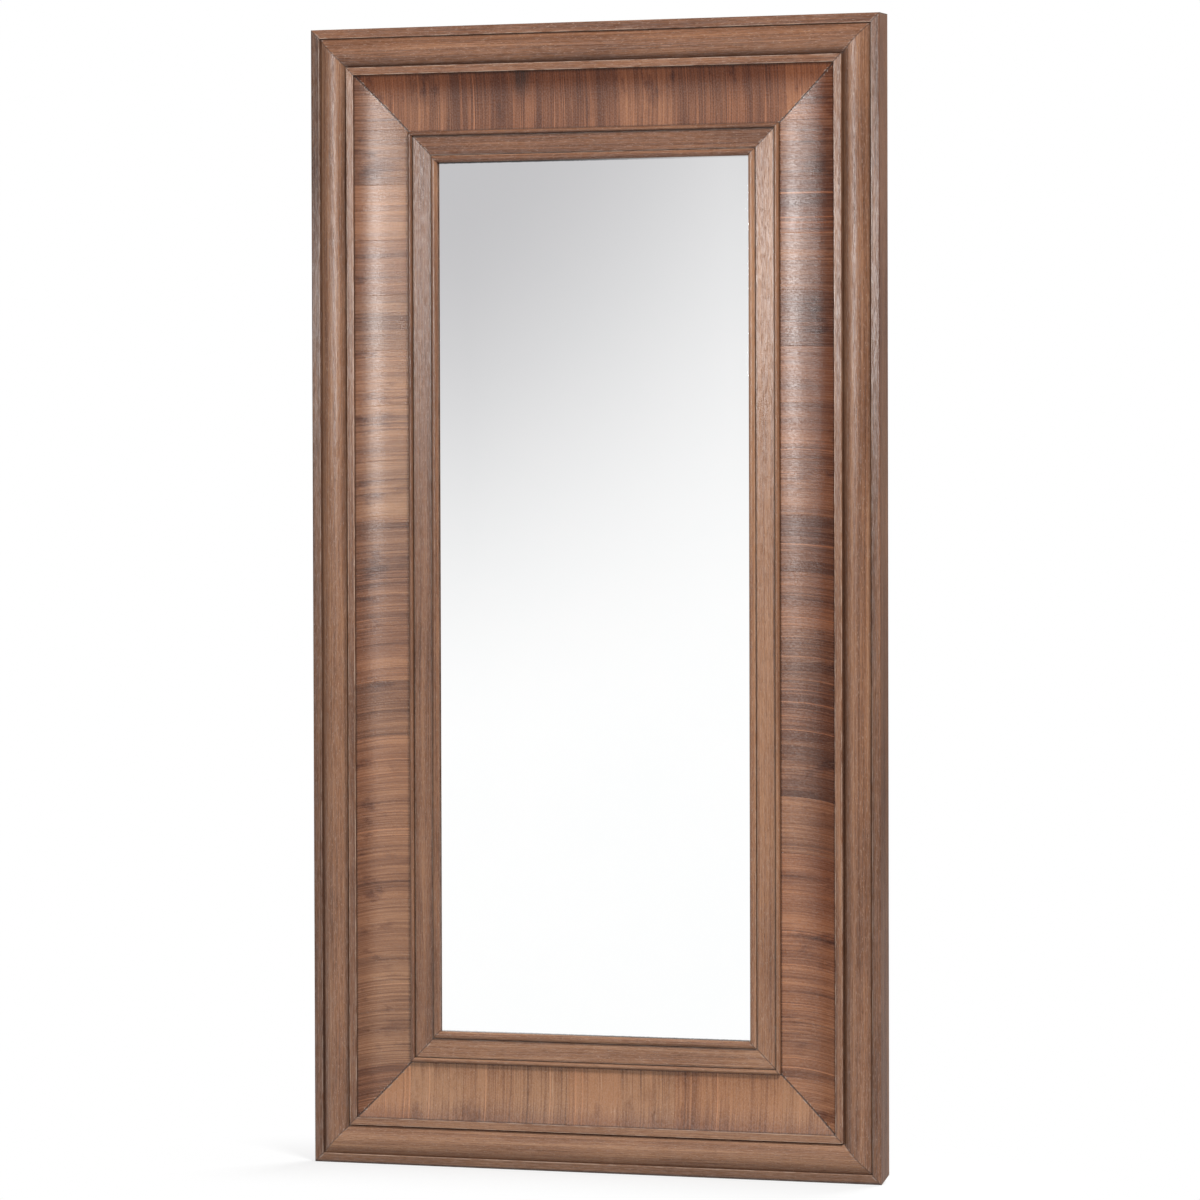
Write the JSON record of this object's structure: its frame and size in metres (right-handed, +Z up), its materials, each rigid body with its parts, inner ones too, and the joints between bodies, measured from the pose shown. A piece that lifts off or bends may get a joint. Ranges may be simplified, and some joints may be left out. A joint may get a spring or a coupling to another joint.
{
  "type": "rectangular mirror",
  "caption": "Tall rectangular mirror in a wide mitred walnut frame with a rounded outer moulding, a cross-banded veneered cove, a beaded sight edge and swinging hanging rings on the back.",
  "frame": {"origin": "middle of the frame's outline, on the wall plane that the back rim lies on", "axes": "+Z up the height, +X to the right as seen from the front, +Y into the wall, so the glass faces -Y"},
  "size_m": [1.067, 0.053, 2.032],
  "materials": {
    "walnut": "satin oiled walnut",
    "walnut_veneer": "satin walnut veneer, grain across the rail",
    "core_wood": "planed poplar",
    "back_wood": "sanded bare wood",
    "board": "smooth fibreboard",
    "beech": "planed beech",
    "mirror": "silvered plain glass",
    "zinc_steel": "bright zinc plate"
  },
  "bodies": {
    "frame": {"outer_moulding_top": "walnut", "cove_core_top": "core_wood", "cove_veneer_top": "walnut_veneer", "sight_moulding_top": "walnut", "glazing_batten_top": "back_wood", "outer_moulding_right": "walnut", "cove_core_right": "core_wood", "cove_veneer_right": "walnut_veneer", "sight_moulding_right": "walnut", "glazing_batten_right": "back_wood", "outer_moulding_bottom": "walnut", "cove_core_bottom": "core_wood", "cove_veneer_bottom": "walnut_veneer", "sight_moulding_bottom": "walnut", "glazing_batten_bottom": "back_wood", "outer_moulding_left": "walnut", "cove_core_left": "core_wood", "cove_veneer_left": "walnut_veneer", "sight_moulding_left": "walnut", "glazing_batten_left": "back_wood", "back_stile_left": "back_wood", "back_stile_right": "back_wood", "back_rail_top": "back_wood", "back_rail_bottom": "back_wood", "mirror_glass": "mirror", "backing_board": "board", "moulding_biscuits": "beech", "sight_biscuits": "beech", "back_frame_dowels": "beech", "outer_rail_screws": "zinc_steel", "inner_rail_screws": "zinc_steel", "batten_screws": "zinc_steel", "hanger_strap_left": "zinc_steel", "hanger_screws_left": "zinc_steel", "hanger_strap_right": "zinc_steel", "hanger_screws_right": "zinc_steel"},
    "left_ring": {"hanger_ring_left": "zinc_steel"},
    "right_ring": {"hanger_ring_right": "zinc_steel"}
  },
  "joints": [
    {"name": "left_ring_hinge", "type": "hinge", "parent": "frame", "child": "left_ring", "pos_m": [-0.416, -0.004, 0.596], "axis": [1, 0, 0], "range_deg": [0, 175]},
    {"name": "right_ring_hinge", "type": "hinge", "parent": "frame", "child": "right_ring", "pos_m": [0.416, -0.004, 0.596], "axis": [1, 0, 0], "range_deg": [0, 175]}
  ]
}
